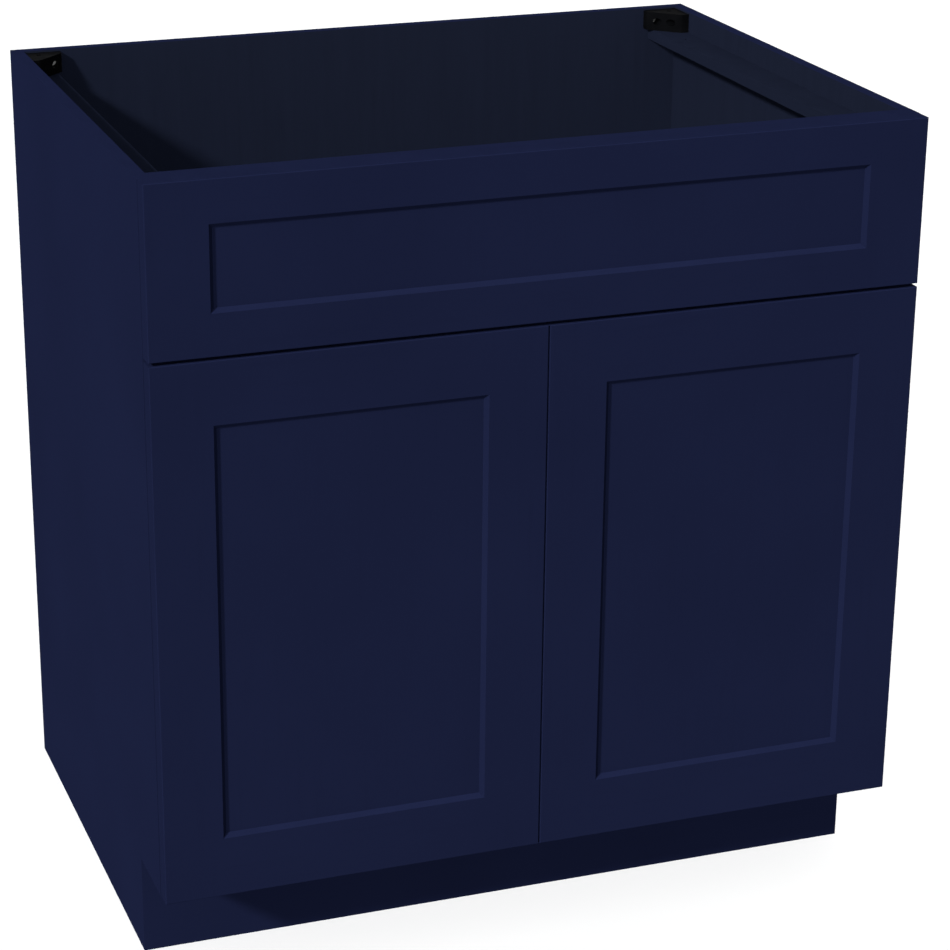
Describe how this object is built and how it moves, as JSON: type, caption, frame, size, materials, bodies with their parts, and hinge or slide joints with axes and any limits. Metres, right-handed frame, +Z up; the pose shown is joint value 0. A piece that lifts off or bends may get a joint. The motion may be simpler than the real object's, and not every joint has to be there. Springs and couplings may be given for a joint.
{
  "type": "bathroom vanity cabinet",
  "caption": "Navy shaker vanity base cabinet with an open top for a basin, a fixed false drawer front, full overlay doors on concealed hinges and a recessed toe kick.",
  "frame": {"origin": "on the floor under the middle of the whole cabinet, doors included", "axes": "+Z up, +X to the right seen from the front, +Y from the doors towards the wall"},
  "size_m": [0.762, 0.571, 0.808],
  "materials": {
    "navy_paint": "satin paint on wood, fine roller texture",
    "case_board": "sealed plywood, painted navy outside, plain grey sealer inside",
    "dowel_wood": "bare beech",
    "black_plastic": "matte moulded",
    "hinge_steel": "nickel plated",
    "zinc_screw": "zinc plated",
    "clear_bumper": "translucent soft bumper"
  },
  "bodies": {
    "cabinet": {"left_side_panel": "case_board", "right_side_panel": "case_board", "back_panel": "case_board", "deck": "case_board", "deck_support": "case_board", "left_mounting_strip": "case_board", "right_mounting_strip": "case_board", "toe_board": "navy_paint", "frame_left_stile": "navy_paint", "frame_right_stile": "navy_paint", "frame_top_rail": "navy_paint", "frame_mid_rail": "navy_paint", "frame_bottom_rail": "navy_paint", "frame_dowels": "dowel_wood", "left_corner_block": "black_plastic", "right_corner_block": "black_plastic", "corner_block_screws": "zinc_screw", "false_front_screws": "zinc_screw", "false_front_left_stile": "navy_paint", "false_front_right_stile": "navy_paint", "false_front_top_rail": "navy_paint", "false_front_bottom_rail": "navy_paint", "false_front_panel": "navy_paint", "left_hinge_plates": "hinge_steel", "left_plate_pins": "hinge_steel", "left_plate_screws": "zinc_screw", "right_hinge_plates": "hinge_steel", "right_plate_pins": "hinge_steel", "right_plate_screws": "zinc_screw"},
    "left_hinge_link": {"left_hinge_links": "hinge_steel"},
    "left_door": {"left_door_hinge_stile": "navy_paint", "left_door_meeting_stile": "navy_paint", "left_door_top_rail": "navy_paint", "left_door_bottom_rail": "navy_paint", "left_door_panel": "navy_paint", "left_door_bumpers": "clear_bumper", "left_hinge_cups": "hinge_steel", "left_cup_pins": "hinge_steel", "left_cup_screws": "zinc_screw"},
    "right_hinge_link": {"right_hinge_links": "hinge_steel"},
    "right_door": {"right_door_hinge_stile": "navy_paint", "right_door_meeting_stile": "navy_paint", "right_door_top_rail": "navy_paint", "right_door_bottom_rail": "navy_paint", "right_door_panel": "navy_paint", "right_door_bumpers": "clear_bumper", "right_hinge_cups": "hinge_steel", "right_cup_pins": "hinge_steel", "right_cup_screws": "zinc_screw"}
  },
  "joints": [
    {"name": "left_hinge_link_turn", "type": "hinge", "parent": "cabinet", "child": "left_hinge_link", "pos_m": [-0.3405, -0.2585, 0.37225], "axis": [0, 0, 1], "range_deg": [0, 35]},
    {"name": "left_door_swing", "type": "hinge", "parent": "left_hinge_link", "child": "left_door", "pos_m": [-0.37, -0.2697, 0.37225], "axis": [0, 0, -1], "range_deg": [0, 140]},
    {"name": "right_hinge_link_turn", "type": "hinge", "parent": "cabinet", "child": "right_hinge_link", "pos_m": [0.3405, -0.2585, 0.37225], "axis": [0, 0, -1], "range_deg": [0, 35]},
    {"name": "right_door_swing", "type": "hinge", "parent": "right_hinge_link", "child": "right_door", "pos_m": [0.37, -0.2697, 0.37225], "axis": [0, 0, 1], "range_deg": [0, 140]}
  ],
  "couplings": [
    {"joint": "left_hinge_link_turn", "follows": "left_door_swing", "ratio": 0.25},
    {"joint": "right_hinge_link_turn", "follows": "right_door_swing", "ratio": 0.25}
  ]
}
